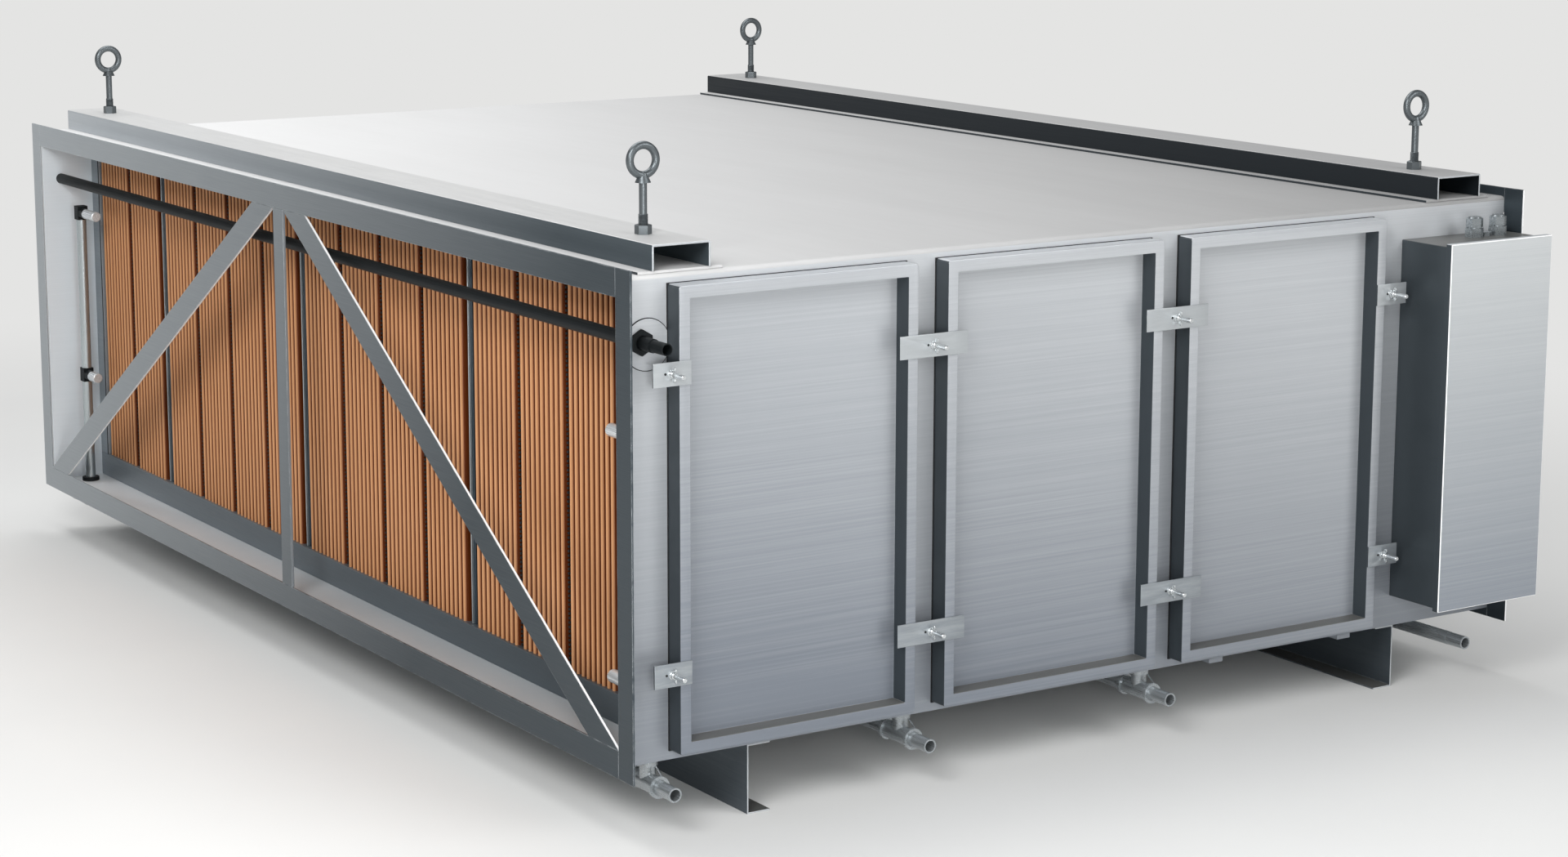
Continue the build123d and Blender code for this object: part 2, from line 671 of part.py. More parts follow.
save("coil_core", coil_core())
coil_banks()
save("header_pipe", header_pipe())
save("pipe_rosette", pipe_rosette())
save("header_union", header_union())
riser_set()
for index in range(DOOR_COUNT):
    save(f"door_{index + 1}", door(index))
clamp_set()
save("control_box", control_box())
save("control_box_lid", control_box_lid())
save("cable_glands", *[cable_gland(place) for place in GLANDS], blanking_plug())
save("cross_legs", leg(1), leg(-1))
drain_set()
save("floor_rails", *[floor_rail(setback) for setback in RAIL_END_SETBACKS])
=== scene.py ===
# %% [markdown]
# # Preconditioned air unit
# A coil casing of brushed sheet steel with a bolting flange ring at each end. The open
# front end shows a coil behind copper coloured fluted panels; the service side carries
# three tray doors, their clamps and a control box. The frame gives every solid in metres.

# %% Load the frame
import json
from math import pi, radians

import bmesh
import bpy
from mathutils import Matrix, Vector


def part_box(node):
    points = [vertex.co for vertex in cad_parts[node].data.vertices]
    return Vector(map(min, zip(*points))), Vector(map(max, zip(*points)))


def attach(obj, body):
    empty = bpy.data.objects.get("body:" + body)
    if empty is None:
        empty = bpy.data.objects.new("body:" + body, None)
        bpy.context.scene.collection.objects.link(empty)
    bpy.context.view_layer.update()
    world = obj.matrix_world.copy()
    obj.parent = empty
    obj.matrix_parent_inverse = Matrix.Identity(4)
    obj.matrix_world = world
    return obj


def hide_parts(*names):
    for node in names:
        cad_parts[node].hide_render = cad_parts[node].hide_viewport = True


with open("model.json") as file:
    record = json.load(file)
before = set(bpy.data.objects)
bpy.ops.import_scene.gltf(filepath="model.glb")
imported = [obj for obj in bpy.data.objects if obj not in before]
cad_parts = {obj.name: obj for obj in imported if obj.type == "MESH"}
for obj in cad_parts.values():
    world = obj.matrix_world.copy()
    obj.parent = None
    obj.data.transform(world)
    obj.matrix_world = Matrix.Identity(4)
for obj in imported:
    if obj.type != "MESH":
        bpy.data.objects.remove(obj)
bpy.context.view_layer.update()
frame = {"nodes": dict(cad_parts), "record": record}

MM = 0.001

# %% [markdown]
# ## Camera
# The view looks down at the coil end and the service side through a long lens. The image
# is wider than it is high, so the lens counts along the width, and a small shift puts the
# unit where it stands in the picture without turning the camera.

# %% Camera
LOOK_FROM = (6.1125, -2.9861, 1.828)
LOOK_DOWN = 10.181
LOOK_ROUND = 57.753
PICTURE_SHIFT = (0.0251, -0.0399)

camera_data = bpy.data.cameras.new("view")
camera_data.lens = 72.586
camera_data.sensor_width = 36.0
camera_data.shift_x, camera_data.shift_y = PICTURE_SHIFT
camera_data.clip_end = 200.0
camera = bpy.data.objects.new("view", camera_data)
camera.location = LOOK_FROM
camera.rotation_euler = (radians(90 - LOOK_DOWN), 0, radians(LOOK_ROUND))
bpy.context.scene.collection.objects.link(camera)
bpy.context.scene.camera = camera
bpy.context.scene.view_settings.view_transform = "Standard"
print("camera", tuple(camera.location))


# %% [markdown]
# ## Colours and node helpers
# Colours are written as the eye reads them and turned into linear light for the shader.
# One helper adds a node with its settings, and three more add the nodes that every group
# needs: the place on the object, soft noise, and a range spread over nought to one.

# %% Colour and node helpers
def tone(code):
    parts = [int(code[i:i + 2], 16) / 255 for i in (1, 3, 5)]
    linear = [c / 12.92 if c <= 0.04045 else ((c + 0.055) / 1.055) ** 2.4 for c in parts]
    return (*linear, 1.0)


def node(tree, kind, place, inputs=None, **settings):
    made = tree.nodes.new(kind)
    made.location = place
    for name, value in settings.items():
        setattr(made, name, value)
    for name, value in (inputs or {}).items():
        if isinstance(value, bpy.types.NodeSocket):
            tree.links.new(value, made.inputs[name])
        else:
            made.inputs[name].default_value = value
    return made


def object_place(tree, place):
    return node(tree, "ShaderNodeTexCoord", place).outputs["Object"]


def noise(tree, place, vector, scale, detail, roughness=0.5):
    made = node(tree, "ShaderNodeTexNoise", place,
                {"Vector": vector, "Scale": scale, "Detail": detail, "Roughness": roughness})
    return made.outputs["Fac"]


def spread(tree, place, value, low, high):
    made = node(tree, "ShaderNodeMapRange", place,
                {"Value": value, "From Min": low, "From Max": high})
    return made.outputs["Result"]


def shader_group(name, inputs, outputs):
    group = bpy.data.node_groups.new(name, "ShaderNodeTree")
    for label, kind, value in inputs:
        socket = group.interface.new_socket(name=label, in_out="INPUT", socket_type=kind)
        socket.default_value = value
    for label, kind in outputs:
        group.interface.new_socket(name=label, in_out="OUTPUT", socket_type=kind)
    entry = group.nodes.new("NodeGroupInput")
    entry.location = (-900, 0)
    leave = group.nodes.new("NodeGroupOutput")
    leave.location = (700, 0)
    return group, entry.outputs, leave.inputs


print("white is", [round(v, 2) for v in tone("#FFFFFF")[:3]])

# %% [markdown]
# ## Brushed grain
# A belt grinds the sheet along one direction and leaves long fine scratches. Noise that is
# squeezed across the scratches and stretched along them gives the same streaks. The broad
# one makes whole bands lighter or darker, and a finer one draws the single scratches.

# %% Brushed grain group
grain, enter, leave = shader_group(
    "brushed_grain",
    [("Across and along", "NodeSocketVector", (2.0, 1.2, 120.0)), ("Fine", "NodeSocketFloat", 5.0)],
    [("Streaks", "NodeSocketFloat"), ("Scratches", "NodeSocketFloat")],
)
squeezed = node(
    grain, "ShaderNodeVectorMath", (-650, 200),
    {0: object_place(grain, (-900, 250)), 1: enter["Across and along"]}, operation="MULTIPLY",
).outputs[0]
finer = node(
    grain, "ShaderNodeVectorMath", (-650, -100),
    {0: squeezed, "Scale": enter["Fine"]}, operation="SCALE",
).outputs[0]
bands = noise(grain, (-420, 300), squeezed, scale=1.0, detail=4.0, roughness=0.62)
lines = noise(grain, (-420, -100), finer, scale=1.0, detail=2.0)
grain.links.new(spread(grain, (-150, 300), bands, 0.32, 0.68), leave["Streaks"])
grain.links.new(spread(grain, (-150, -100), lines, 0.3, 0.7), leave["Scratches"])
print(grain.name, len(grain.nodes), "nodes")

# %% [markdown]
# ## Patches and edges
# Handling, weather and rolling leave soft patches on every sheet, and corners are rubbed
# bright. Patches are low noise. A corner is found by comparing the true normal with a
# normal that is rounded over a few millimetres: they differ only near an edge.

# %% Patch and edge groups
patch, enter, leave = shader_group(
    "soft_patches", [("Size", "NodeSocketFloat", 3.0)], [("Patches", "NodeSocketFloat")]
)
cloud = noise(patch, (-450, 0), object_place(patch, (-700, 0)), enter["Size"], detail=3.0,
              roughness=0.55)
patch.links.new(spread(patch, (-200, 0), cloud, 0.3, 0.7), leave["Patches"])

rubbed, enter, leave = shader_group(
    "rubbed_edges", [("Reach", "NodeSocketFloat", 0.003)], [("Edges", "NodeSocketFloat")]
)
true_normal = node(rubbed, "ShaderNodeNewGeometry", (-700, 200))
soft_normal = node(rubbed, "ShaderNodeBevel", (-700, -100), {"Radius": enter["Reach"]}, samples=4)
agree = node(
    rubbed, "ShaderNodeVectorMath", (-450, 0),
    {0: true_normal.outputs["Normal"], 1: soft_normal.outputs["Normal"]}, operation="DOT_PRODUCT",
)
chips = noise(rubbed, (-450, -300), object_place(rubbed, (-700, -300)), scale=45.0, detail=3.0)
edge = spread(rubbed, (-200, 0), agree.outputs["Value"], 0.995, 0.85)
broken = spread(rubbed, (-200, -300), chips, 0.35, 0.6)
worn = node(rubbed, "ShaderNodeMath", (50, 0), {0: edge, 1: broken}, operation="MULTIPLY")
rubbed.links.new(worn.outputs["Value"], leave["Edges"])
print(patch.name, len(patch.nodes), "nodes,", rubbed.name, len(rubbed.nodes), "nodes")

# %% [markdown]
# ## Painted shade over a sheet
# Light falls unevenly over a large sheet, and this shade is painted into its colour: the doors
# are darker towards the foot, the flange ring towards the service side. The mask measures how
# far a point lies along a direction and fades from one end to the other.

# %% Painted shade fade group
fade, enter, leave = shader_group(
    "slow_fade",
    [("Direction", "NodeSocketVector", (0.0, 0.0, -1.0)), ("Start", "NodeSocketFloat", -1.0),
     ("End", "NodeSocketFloat", -0.15)],
    [("Amount", "NodeSocketFloat")],
)
along = node(
    fade, "ShaderNodeVectorMath", (-500, 0),
    {0: object_place(fade, (-700, 0)), 1: enter["Direction"]}, operation="DOT_PRODUCT",
)
amount = spread(fade, (-250, 0), along.outputs["Value"], enter["Start"], enter["End"])
fade.links.new(amount, leave["Amount"])
print("groups", [g.name for g in bpy.data.node_groups])


# %% [markdown]
# ## Metal finishes
# Every finish is built from the same steps: two tones mixed by the streaks, patches and
# hairlines over them, painted shade that fades to a darker far tone, and a roughness and a
# small relief that follow the scratches. A second painted shade can darken a piece inwards,
# which on the copper is also oxide in the grooves, and edges are rubbed bright by wear. Only
# the numbers differ from the brushed doors to the black pipe.

# %% Finish builder
LENGTHWISE = (3.0, 0.9, 230.0)
UPRIGHT = (140.0, 140.0, 1.5)
RUBBED_REACH = 2.5 * MM
RUBBED_SHARE = 0.8
RELIEF_DEPTH = 0.4 * MM
# The Mix node keeps one pair of inputs for each kind of value; these are the colours' own.
FIRST_COLOUR, SECOND_COLOUR, MIXED_COLOUR = 6, 7, 2


def blend_colour(tree, place, amount, first, second, share=1.0):
    if share != 1.0:
        scaled = node(tree, "ShaderNodeMath", (place[0] - 180, place[1] - 120),
                      {0: amount, 1: share}, operation="MULTIPLY")
        amount = scaled.outputs["Value"]
    mixed = node(tree, "ShaderNodeMix", place,
                 {"Factor": amount, FIRST_COLOUR: first, SECOND_COLOUR: second}, data_type="RGBA")
    return mixed.outputs[MIXED_COLOUR]


def fade_mask(tree, place, direction, start, end):
    made = node(tree, "ShaderNodeGroup", place,
                {"Direction": direction, "Start": start, "End": end}, node_tree=fade)
    return made.outputs["Amount"]


# Painted shade that fades along a direction, made uneven by the streaks.
def painted_shade_mask(tree, streaks, streaked, *way):
    mask = fade_mask(tree, (-1300, -450), *way)
    marked = node(tree, "ShaderNodeMath", (-1000, -450),
                  {0: streaks, 1: streaked, 2: 1.0 - streaked / 2}, operation="MULTIPLY_ADD")
    weight = node(tree, "ShaderNodeMath", (-820, -450), {0: mask, 1: marked.outputs["Value"]},
                  operation="MULTIPLY", use_clamp=True)
    return weight.outputs["Value"]


def finish(name, light, dark, along=LENGTHWISE, fine=5.0, streaks=0.5, patches=0.3,
           patch_size=3.0, hairlines=0.1, metallic=0.5, specular=0.5, rough=(0.3, 0.45),
           relief=0.15, far=None, streaked=0.5, groove=None, wear=None):
    material = bpy.data.materials.new(name)
    material.use_nodes = True
    tree = material.node_tree
    shader = tree.nodes["Principled BSDF"]
    shader.inputs["Metallic"].default_value = metallic
    shader.inputs["Specular IOR Level"].default_value = specular
    light, dark = tone(light), tone(dark)
    lines = node(tree, "ShaderNodeGroup", (-1300, 0),
                 {"Across and along": along, "Fine": fine}, node_tree=grain).outputs
    soft = node(tree, "ShaderNodeGroup", (-1300, -250), {"Size": patch_size},
                node_tree=patch).outputs
    colour = blend_colour(tree, (-900, 200), lines["Streaks"], light, dark, streaks)
    colour = blend_colour(tree, (-700, 200), soft["Patches"], colour, dark, patches)
    colour = blend_colour(tree, (-600, 350), lines["Scratches"], colour, dark, hairlines)
    # The far tone is painted shade, laid on along the fade.
    if far:
        painted_shade_tone, *way = far
        mask = painted_shade_mask(tree, lines["Streaks"], streaked, *way)
        colour = blend_colour(tree, (-500, 200), mask, colour, tone(painted_shade_tone))
    # Painted shade inwards: on the copper together with oxide in the flute hollows, on the channels
    # towards the rear.
    if groove:
        inward_shade_tone, *way = groove
        mask = fade_mask(tree, (-1300, -850), *way)
        colour = blend_colour(tree, (-400, 350), mask, colour, tone(inward_shade_tone))
    if wear:
        corner = node(tree, "ShaderNodeGroup", (-1300, -650), {"Reach": RUBBED_REACH},
                      node_tree=rubbed)
        colour = blend_colour(tree, (-300, 200), corner.outputs["Edges"], colour, tone(wear),
                              RUBBED_SHARE)
    tree.links.new(colour, shader.inputs["Base Color"])
    shine = node(tree, "ShaderNodeMapRange", (-500, -100),
                 {"Value": lines["Scratches"], "To Min": rough[0], "To Max": rough[1]})
    tree.links.new(shine.outputs["Result"], shader.inputs["Roughness"])
    bump = node(tree, "ShaderNodeBump", (-300, -300),
                {"Strength": relief, "Distance": RELIEF_DEPTH, "Height": lines["Scratches"]})
    tree.links.new(bump.outputs["Normal"], shader.inputs["Normal"])
    return material


FINISHES = {}


def slot_finish(name, light, dark, **settings):
    FINISHES[name] = finish(name, light, dark, **settings)


print("finish builder ready")

# %% [markdown]
# ## Sheet finishes
# The casing, the doors and the control box are brushed lengthwise, with painted shade that
# turns them a cooler grey towards the foot. The roof and the lifting channels are smoother, with
# painted shade that turns them darker towards the rear. A fade is a direction, the place where
# it starts and where it ends.

# %% Sheet finishes
BESIDE = (1.0, 0.0, 0.0)
INWARD = (0.0, 1.0, 0.0)
# Painted shade fades: a direction, where the shade starts and where it is full.
TO_FOOT = ((0.0, 0.0, -1.0), -0.95, -0.2)
TO_DOOR_FOOT = ((0.0, -0.22, -1.0), -1.12, -0.25)
OVER_ROOF = ((0.53, 0.85, 0.0), -0.6, 2.1)

slot_finish("casing_sheet", "#CBCED1", "#AFB3B7", streaks=0.2, patches=0.12, hairlines=0.2,
            metallic=0.3, rough=(0.32, 0.42), far=("#8F949B", *TO_FOOT), streaked=0.16)
slot_finish("door_sheet", "#C6C9CC", "#A6AAAF", streaks=0.32, patches=0.1, hairlines=0.24,
            metallic=0.4, rough=(0.28, 0.38), relief=0.08, far=("#7A8089", *TO_DOOR_FOOT),
            streaked=0.16)
slot_finish("box_paint", "#D3D6D7", "#B4B9BC", streaks=0.2, patches=0.1, hairlines=0.2,
            metallic=0.35, rough=(0.3, 0.4), relief=0.08, far=("#9298A0", *TO_FOOT),
            streaked=0.16)
slot_finish("roof_sheet", "#E4E4E4", "#D6D6D5", along=(1.0, 6.0, 6.0), streaks=0.2,
            patches=0.3, patch_size=0.9, metallic=0.0, specular=0.3, rough=(0.58, 0.66),
            relief=0.05, far=("#9A9A9A", *OVER_ROOF), streaked=0.05)
slot_finish("lifting_sheet", "#DADAD9", "#C3C4C4", along=(1.0, 40.0, 40.0), streaks=0.2,
            patches=0.2, metallic=0.25, rough=(0.38, 0.5), relief=0.06,
            far=("#B0B0B0", *OVER_ROOF), streaked=0.05)
print("sheet", list(FINISHES))

# %% [markdown]
# ## Steel finishes
# The flange rings carry painted shade, from bright at the top of the far side to dark at the
# foot of the service side, and the clamp plates darken towards the foot by painted shade. Legs
# and dividers are darker steel; pipes, clamps, caps, glands and bolts each keep their own shine.

# %% Steel finishes
ROUND_FLANGE = ((1.0, 0.0, -0.8), -2.5, 0.5)
sheet_count = len(FINISHES)

slot_finish("flange_steel", "#BBC1C5", "#ADB3B8", along=(1.5, 130.0, 130.0), streaks=0.15,
            patches=0.25, patch_size=1.4, metallic=0.55, rough=(0.36, 0.48), relief=0.08,
            far=("#3B444A", *ROUND_FLANGE), streaked=0.0, wear="#C9CED1")
slot_finish("leg_steel", "#525A60", "#3E454B", along=(1.5, 60.0, 60.0), streaks=0.3,
            patches=0.4, metallic=0.5, rough=(0.38, 0.5), relief=0.1, wear="#B9BFC3")
slot_finish("divider_steel", "#3B4955", "#232D35", along=UPRIGHT, streaks=0.4, patches=0.3,
            metallic=0.7, rough=(0.28, 0.4), relief=0.1)
slot_finish("pipe_steel", "#C2C9CB", "#8F989B", along=UPRIGHT, streaks=0.3, patches=0.3,
            metallic=0.8, rough=(0.24, 0.36), relief=0.06)
slot_finish("cap_chrome", "#D9DCDE", "#B6BBBD", along=(2.0, 120.0, 120.0), streaks=0.2,
            patches=0.2, metallic=0.45, rough=(0.2, 0.3), relief=0.03)
slot_finish("eye_steel", "#6C7275", "#484D50", along=(60.0, 60.0, 60.0), streaks=0.2,
            patches=0.3, patch_size=20.0, metallic=0.75, rough=(0.32, 0.42), relief=0.04)
slot_finish("clamp_zinc", "#BFC3C5", "#A2A7AA", along=(90.0, 9.0, 90.0), streaks=0.25,
            patches=0.2, patch_size=8.0, metallic=0.5, rough=(0.28, 0.4), relief=0.06,
            far=("#8D9398", *TO_FOOT))
slot_finish("gland_metal", "#A4AAAD", "#6A7073", along=(60.0, 60.0, 200.0), streaks=0.3,
            patches=0.2, metallic=0.85, rough=(0.24, 0.34), relief=0.04)
slot_finish("drain_steel", "#A9AEB1", "#7A8083", along=(2.0, 60.0, 60.0), streaks=0.3,
            patches=0.3, patch_size=12.0, metallic=0.65, rough=(0.24, 0.34), relief=0.02)
print("steel", list(FINISHES)[sheet_count:])

# %% [markdown]
# ## Coil and header pipe
# The copper coloured panels darken quickly inwards from their front, so that every flute
# gets its dark groove: painted shade together with oxide in the hollows. The core behind them
# is nearly black, and so is the header pipe.

# %% Coil and pipe finishes
panel_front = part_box("coil_bank_1")[0].y
GROOVE_FROM = panel_front + 0.2 * MM
GROOVE_TO = panel_front + 4.2 * MM

slot_finish("coil_core_dark", "#1D0F0A", "#0D0604", along=(30.0, 30.0, 400.0), streaks=0.6,
            patches=0.3, metallic=0.2, rough=(0.5, 0.7), relief=0.4)
slot_finish("copper_fluted", "#DEA476", "#CB8C5A", along=UPRIGHT, streaks=0.25, patches=0.25,
            patch_size=4.0, metallic=0.15, specular=0.25, rough=(0.34, 0.48), relief=0.06,
            groove=("#602C0E", INWARD, GROOVE_FROM, GROOVE_TO))
slot_finish("pipe_black", "#181C1E", "#0F1213", along=(1.5, 90.0, 90.0), streaks=0.3,
            patches=0.3, metallic=0.1, specular=0.2, rough=(0.5, 0.62), relief=0.06)
print("panels' grooves start at", round(GROOVE_FROM, 4))

# %% [markdown]
# ## Painted light and shade on single faces
# Some faces get lit and shaded copies of their piece's finish: painted highlights on edges that
# face the light, painted shade on sides, ledges and tops that lie in shade, and paler painted
# light on the far wall's inside and in the floor pan.

# %% Finishes for single faces
# Painted shade for sides that face along the wall, away from the light.
painted_shade_side = finish("painted_shade_side_sheet", "#3E454A", "#30363B", along=(3.0, 60.0, 4.0), streaks=0.2,
                   patches=0.3, metallic=0.5, rough=(0.36, 0.48), relief=0.08)
# Painted shade for ledges and tops that lie in shade.
painted_shade_ledge = finish("painted_shade_ledge", "#6E6E6C", "#5C5D5B", streaks=0.3, patches=0.3,
                     metallic=0.4, rough=(0.34, 0.46), relief=0.08)
# Painted shade on the control box's sides.
box_painted_shade = finish("box_painted_shade_sides", "#474E53", "#3A4146", along=(3.0, 60.0, 4.0), streaks=0.2,
                  patches=0.3, metallic=0.45, rough=(0.36, 0.48), relief=0.06)
# Painted highlight on edges that face the light: brace sides, rear stile ends, the lid's rim.
painted_highlight_edge = finish("painted_highlight_edge", "#FDFDFD", "#F1F3F4", along=(20.0, 20.0, 20.0), streaks=0.3,
                  patches=0.2, metallic=0.0, rough=(0.3, 0.4), relief=0.05)
# Painted light on the channel and leg ends, painted shade on the lid's top.
painted_light_shade_grey = finish("painted_light_shade_grey", "#B9BDC0", "#A3A8AB", along=(20.0, 20.0, 20.0),
                     streaks=0.3, patches=0.2, metallic=0.2, rough=(0.34, 0.44), relief=0.05)
# Painted shade on the lifting channels' sides, darker towards the service side and the rear.
channel_painted_shade = finish("channel_painted_shade", "#D0D5D9", "#C0C6CB", along=(1.0, 60.0, 60.0),
                      streaks=0.3, patches=0.3, metallic=0.5, rough=(0.36, 0.48), relief=0.06,
                      far=("#4E585E", BESIDE, -1.5, 1.1), streaked=0.0,
                      groove=("#20262B", INWARD, 0.2, 1.1))
# Painted light on the centre post's sides.
post_painted_light = finish("post_painted_light", "#8E959A", "#7D848A", along=UPRIGHT, streaks=0.2, patches=0.2,
                   metallic=0.4, rough=(0.34, 0.44), relief=0.05)
# Painted shade on the coil's jambs.
coil_frame_painted_shade = finish("coil_frame_painted_shade", "#939BA1", "#7C858B", streaks=0.3, patches=0.3,
                          metallic=0.45, rough=(0.34, 0.46), relief=0.08)
# Painted shade on the coil's sill, darker towards the service side.
sill_painted_shade = finish("sill_painted_shade", "#8A9298", "#7B848A", streaks=0.15, patches=0.2,
                    metallic=0.45, rough=(0.34, 0.46), relief=0.05,
                    far=("#586167", BESIDE, -1.6, 0.8), streaked=0.0)
# Painted light on the floor pan, with painted shade towards the service side.
pan_painted_light_and_shade = finish("pan_painted_light_and_shade", "#E6E9EB", "#D5D9DC", streaks=0.2, patches=0.2, metallic=0.1,
                   rough=(0.36, 0.46), relief=0.06, far=("#B2B7BA", BESIDE, -1.4, 0.2),
                   streaked=0.0)
# Painted light on the far wall's inside.
inner_painted_light = finish("inner_painted_light", "#DDE4E9", "#CED5DA", streaks=0.2, patches=0.15,
                     metallic=0.1, rough=(0.34, 0.44), relief=0.08)
bright_stud = finish("bright_stud", "#DDE0E1", "#B4B9BB", along=(9.0, 60.0, 60.0), streaks=0.3,
                     patches=0.2, metallic=0.9, rough=(0.24, 0.32), relief=0.02)
# Black rubber for seals; behind the doors and in the keyholes it is painted shadow.
rubber_and_painted_shadow = finish("black_seal_and_painted_shadow", "#16181A", "#0C0D0E", along=(60.0, 60.0, 60.0), streaks=0.5,
                patches=0.3, patch_size=25.0, metallic=0.0, rough=(0.6, 0.8), relief=0.2)
print(len(bpy.data.materials), "materials in all")

# %% [markdown]
# ## Finishes on the solids
# The record says which slot each node takes. A solid whose shape is right keeps its mesh
# and only gets the finish of its slot; a new piece takes the finish of the slot it names.

# %% Finishes on the solids
SLOT_OF = {part["node"]: part["material_slot"] for part in frame["record"]["subparts"]}


def dress(piece, slot_name, material=None):
    piece.data.materials.clear()
    piece.data.materials.append(material or FINISHES[slot_name])


for name, solid in frame["nodes"].items():
    dress(solid, SLOT_OF[name])
# The floor pan takes its painted light and shade finish instead of its slot's.
dress(frame["nodes"]["floor_pan"], SLOT_OF["floor_pan"], pan_painted_light_and_shade)
print(len(SLOT_OF), "solids dressed")


# %% [markdown]
# ## Making pieces
# A new piece starts as a bmesh, in metres and in its place. One helper turns it into an
# object that rides with the unit and has its slot and finish. Faces whose edge is sharper
# than about thirty degrees stay crisp, and the rest is smooth. Some faces of a piece take a
# second finish, picked by where they look and where they lie.

# %% Piece helpers
CRISP_FROM = 32
FACING, ASIDE, ON_BEND = 0.7, 0.3, 0.15


def make(name, form, slot_name, replaced=(), material=None, smooth=True):
    bmesh.ops.recalc_face_normals(form, faces=form.faces)
    mesh = bpy.data.meshes.new(name)
    form.to_mesh(mesh)
    form.free()
    for face in mesh.polygons:
        face.use_smooth = smooth
    if smooth:
        mesh.set_sharp_from_angle(angle=radians(CRISP_FROM))
    piece = bpy.data.objects.new(name, mesh)
    bpy.context.scene.collection.objects.link(piece)
    dress(piece, slot_name, material)
    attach(piece, "root")
    if replaced:
        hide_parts(*replaced)
    return piece


# A second finish lays painted light and painted shade on the faces that it picks.
def second_finish(piece, material, belongs):
    index = len(piece.data.materials)
    piece.data.materials.append(material)
    for face in piece.data.polygons:
        if belongs(face.normal, face.center):
            face.material_index = index


def looks_along(letter):
    return lambda normal, _: abs(getattr(normal, letter)) > FACING


def looks_up_below(height):
    return lambda normal, centre: normal.z > FACING and centre.z < height


def looks_aside(normal, _):
    return abs(normal.y) < ASIDE


def looks_outward(normal, _):
    return normal.x > FACING


def lies_on_rim_bend(normal, _):
    return normal.x > ON_BEND and max(abs(normal.y), abs(normal.z)) > ON_BEND


print("piece helpers ready")


# %% [markdown]
# ## Shaping pieces
# A few bmesh helpers do all the shaping: a cleaned copy of a solid, softened edges, a plate,
# a profile turned round an axis, and the zigzag outline of a thread.

# %% Shape helpers
WELD = 0.01 * MM
AXIS_WELD = 0.005 * MM
FLAT_WITHIN = 0.5
CREASE_FROM, SQUARE_FROM = 30, 60


def crisp_edges(form, angle=CREASE_FROM):
    return [e for e in form.edges
            if len(e.link_faces) == 2 and e.calc_face_angle(0) > radians(angle)]


def soften(form, edges, width, segments=3):
    bmesh.ops.bevel(form, geom=edges, offset=width, offset_type="OFFSET", affect="EDGES",
                    segments=segments, profile=0.5, material=-1, clamp_overlap=True)


def everything(form):
    return form.verts[:] + form.edges[:] + form.faces[:]


def plain_copy(name):
    form = bmesh.new()
    form.from_mesh(frame["nodes"][name].data)
    bmesh.ops.remove_doubles(form, verts=form.verts, dist=WELD)
    bmesh.ops.dissolve_limit(form, angle_limit=radians(FLAT_WITHIN), verts=form.verts,
                             edges=form.edges)
    return form


def plate(form, x0, x1, y0, y1, z0, z1, softened=0.0):
    made = bmesh.ops.create_cube(form, size=1.0)["verts"]
    size = Matrix.Diagonal((x1 - x0, y1 - y0, z1 - z0, 1.0))
    place = Matrix.Translation(((x0 + x1) / 2, (y0 + y1) / 2, (z0 + z1) / 2))
    bmesh.ops.transform(form, matrix=place @ size, verts=made)
    if softened:
        edges = list({e for v in made for e in v.link_edges})
        soften(form, edges, softened, 2)


def add(form, part):
    holder = bpy.data.meshes.new("holder")
    part.to_mesh(holder)
    part.free()
    form.from_mesh(holder)
    bpy.data.meshes.remove(holder)


# The profile is a list of radius and distance along the axis, both in millimetres.
def turned(form, profile, place, axis="Z", steps=32):
    part = bmesh.new()
    verts = [part.verts.new((r * MM, 0, h * MM)) for r, h in profile]
    edges = [part.edges.new(pair) for pair in zip(verts, verts[1:])]
    bmesh.ops.spin(part, geom=verts + edges, cent=(0, 0, 0), axis=(0, 0, 1), angle=2 * pi,
                   steps=steps, use_merge=True)
    bmesh.ops.remove_doubles(part, verts=part.verts, dist=AXIS_WELD)
    turn = {"Z": Matrix.Identity(4), "X": Matrix.Rotation(pi / 2, 4, "Y")}[axis]
    bmesh.ops.transform(part, matrix=Matrix.Translation(place) @ turn, verts=part.verts)
    add(form, part)


def thread_profile(core, crest, start, end, pitch):
    count = round((end - start) / pitch)
    points = [(core, start)]
    for index in range(count):
        points.append((crest, start + (index + 0.5) * pitch))
        points.append((core, start + (index + 1) * pitch))
    return points


print("shape helpers ready")

# %% [markdown]
# ## Folded and cut sheet
# A laser cut plate has a faint burr line and a folded sheet a small round bend, and both
# catch the light along every edge. A copy of each flat solid is merged, its flat faces are
# joined again and its edges are rounded by a millimetre or so, as the list says.

# %% Rounded sheet pieces
ROUNDED = {
    "far_wall": 0.6, "front_flange_members": 0.6, "front_flange_stiles": 0.6,
    "rear_flange_members": 0.6, "rear_flange_stiles": 0.6, "centre_post": 0.9, "braces": 0.8,
    "roof_strips": 0.8, "control_box_lid": 0.4, "cross_legs": 0.8, "floor_rails": 1.0,
    "coil_sill": 1.2, "coil_jambs": 1.2, "coil_dividers": 1.0, "control_box": 1.5,
    "lifting_channels": 0.8, "header_union": 0.8,
}
# The coil's sill and jambs take their painted shade finishes whole.
WHOLE = {"coil_sill": sill_painted_shade, "coil_jambs": coil_frame_painted_shade}
LEG_FOOT = 0.01
